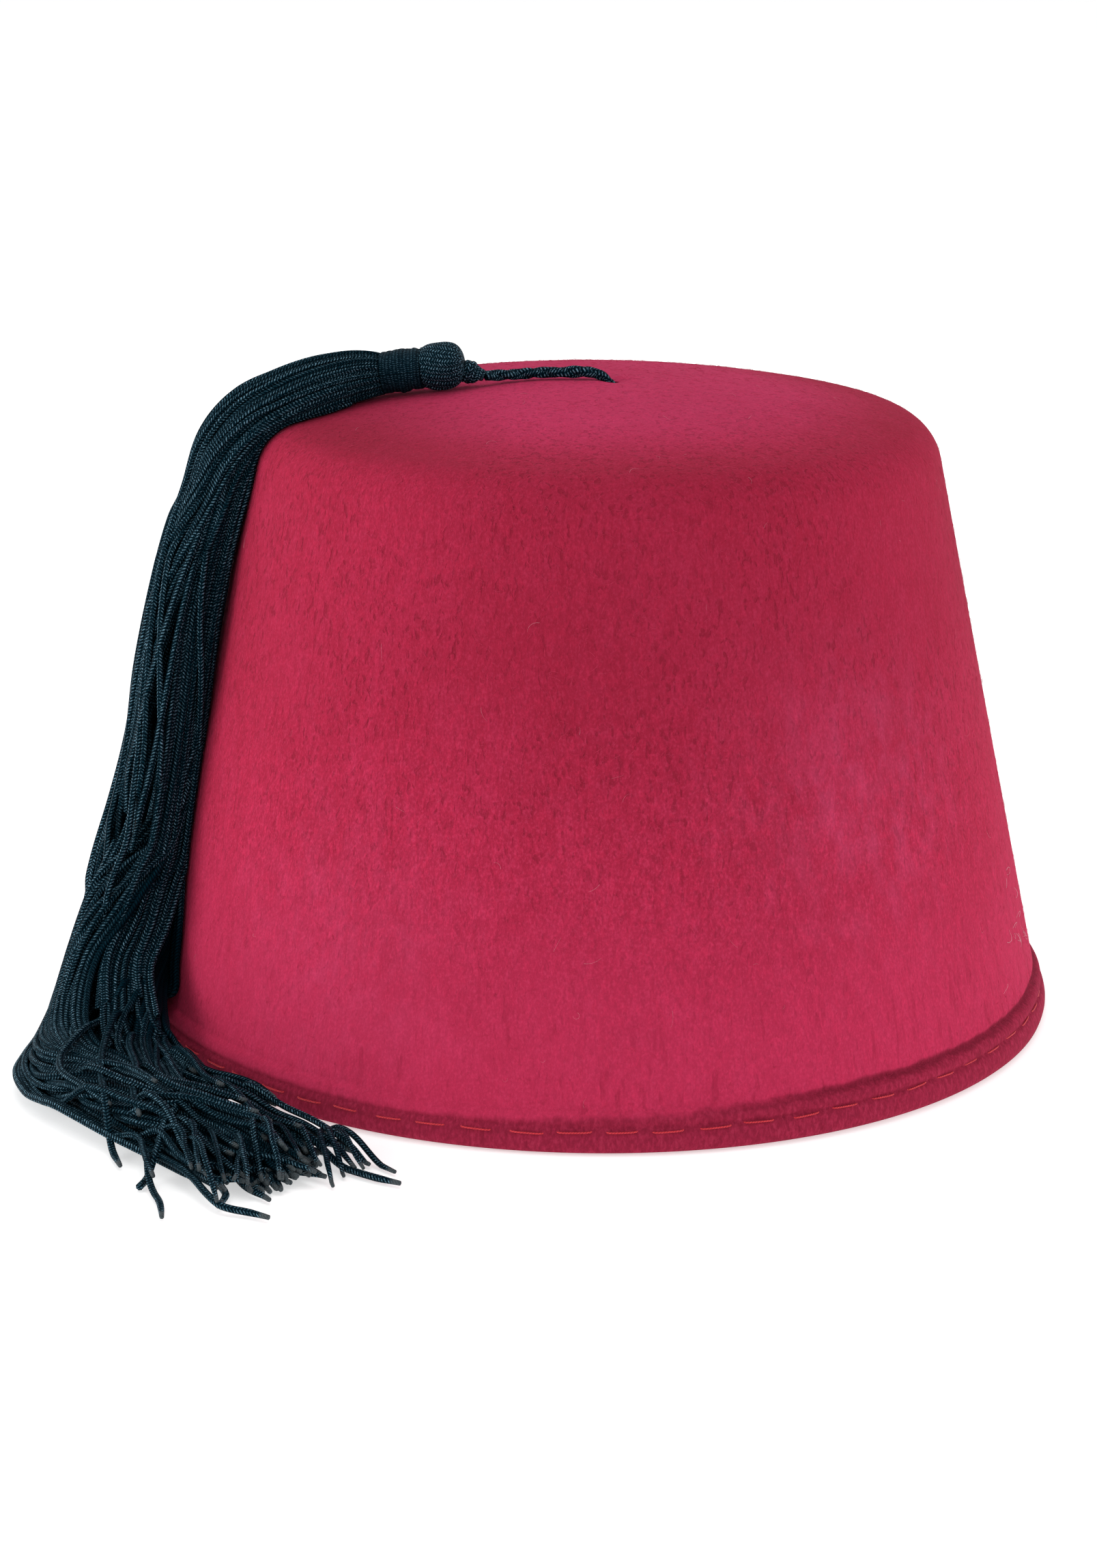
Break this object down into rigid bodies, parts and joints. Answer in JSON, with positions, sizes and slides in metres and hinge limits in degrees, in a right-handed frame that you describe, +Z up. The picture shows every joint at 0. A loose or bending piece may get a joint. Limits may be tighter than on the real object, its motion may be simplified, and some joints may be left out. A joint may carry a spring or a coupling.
{
  "type": "fez hat with tassel",
  "caption": "Tapered felt fez with a domed top and a stitched double hem; a tassel on a short cord lies over its side and fans out on the surface.",
  "frame": {"origin": "centre of the rim, on the plane that the hat rests on", "axes": "+Z up through the middle of the top, -Y towards the front, -X towards the side that the tassel falls over"},
  "size_m": [0.2103, 0.2126, 0.1384],
  "materials": {
    "felt": "crimson felt, slightly fuzzy",
    "tassel_yarn": "blue-black knitted rayon yarn with a low sheen",
    "cord_yarn": "blue-black twisted cord",
    "neck_thread": "blue-black fine wound thread",
    "stitch_thread": "bright red sewing thread"
  },
  "bodies": {
    "root": {"crown": "felt", "cord_stop_knot": "cord_yarn", "tassel_cord": "cord_yarn", "tassel_knot": "cord_yarn", "tassel_knob": "tassel_yarn", "tassel_neck": "neck_thread", "tassel_skirt": "tassel_yarn"}
  },
  "joints": []
}
